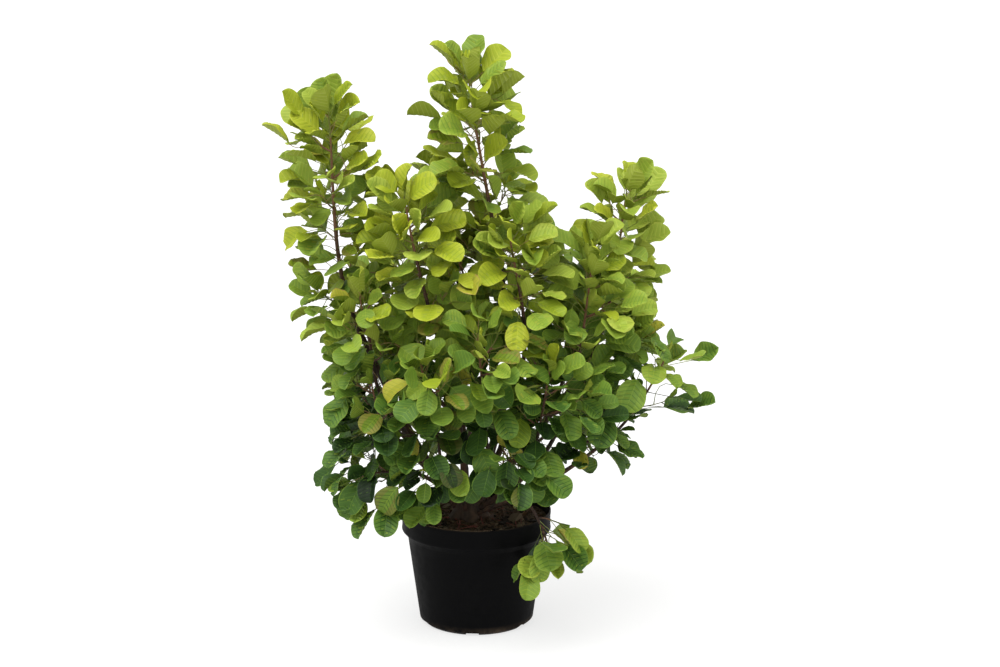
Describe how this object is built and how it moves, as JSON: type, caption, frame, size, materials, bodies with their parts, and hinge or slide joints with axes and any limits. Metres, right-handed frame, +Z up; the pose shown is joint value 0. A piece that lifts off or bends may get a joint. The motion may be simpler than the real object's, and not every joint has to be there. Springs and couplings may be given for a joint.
{
  "type": "potted smoke bush",
  "caption": "Bushy leafy shrub with upright shoots of round leaves on woody stems from one stump, growing in a round tapered nursery pot filled with compost.",
  "frame": {"origin": "middle of the pot's flat underside, which stands on the ground", "axes": "+Z up; the front of the bush, as pictured, faces -Y; +X to the right of that view"},
  "size_m": [0.818, 0.6099, 1.1483],
  "materials": {
    "pot_plastic": "matte",
    "compost": "matte",
    "bark": "matte",
    "leaves": "matte"
  },
  "bodies": {
    "root": {"bough_back_centre": "bark", "bough_back_left": "bark", "bough_back_right": "bark", "bough_back_skirt": "bark", "bough_back_skirt_left": "bark", "bough_back_skirt_right": "bark", "bough_centre_front": "bark", "bough_centre_left": "bark", "bough_front_centre": "bark", "bough_front_left": "bark", "bough_front_right": "bark", "bough_front_skirt_left": "bark", "bough_front_skirt_right": "bark", "bough_left_column": "bark", "bough_left_flank": "bark", "bough_left_low": "bark", "bough_left_shoulder": "bark", "bough_left_skirt": "bark", "bough_low_right": "bark", "bough_middle_back": "bark", "bough_middle_left": "bark", "bough_right_back": "bark", "bough_right_front": "bark", "bough_right_low": "bark", "bough_right_shoulder": "bark", "bough_right_skirt": "bark", "bough_tall_column": "bark", "compost": "compost", "foliage_back_centre": "leaves", "foliage_back_left": "leaves", "foliage_back_right": "leaves", "foliage_back_skirt": "leaves", "foliage_back_skirt_left": "leaves", "foliage_back_skirt_right": "leaves", "foliage_centre_front": "leaves", "foliage_centre_left": "leaves", "foliage_front_centre": "leaves", "foliage_front_left": "leaves", "foliage_front_right": "leaves", "foliage_front_skirt_left": "leaves", "foliage_front_skirt_right": "leaves", "foliage_left_column": "leaves", "foliage_left_flank": "leaves", "foliage_left_low": "leaves", "foliage_left_shoulder": "leaves", "foliage_left_skirt": "leaves", "foliage_low_right": "leaves", "foliage_middle_back": "leaves", "foliage_middle_left": "leaves", "foliage_right_back": "leaves", "foliage_right_front": "leaves", "foliage_right_low": "leaves", "foliage_right_shoulder": "leaves", "foliage_right_skirt": "leaves", "foliage_tall_column": "leaves", "pot": "pot_plastic", "stump": "bark"}
  },
  "joints": []
}
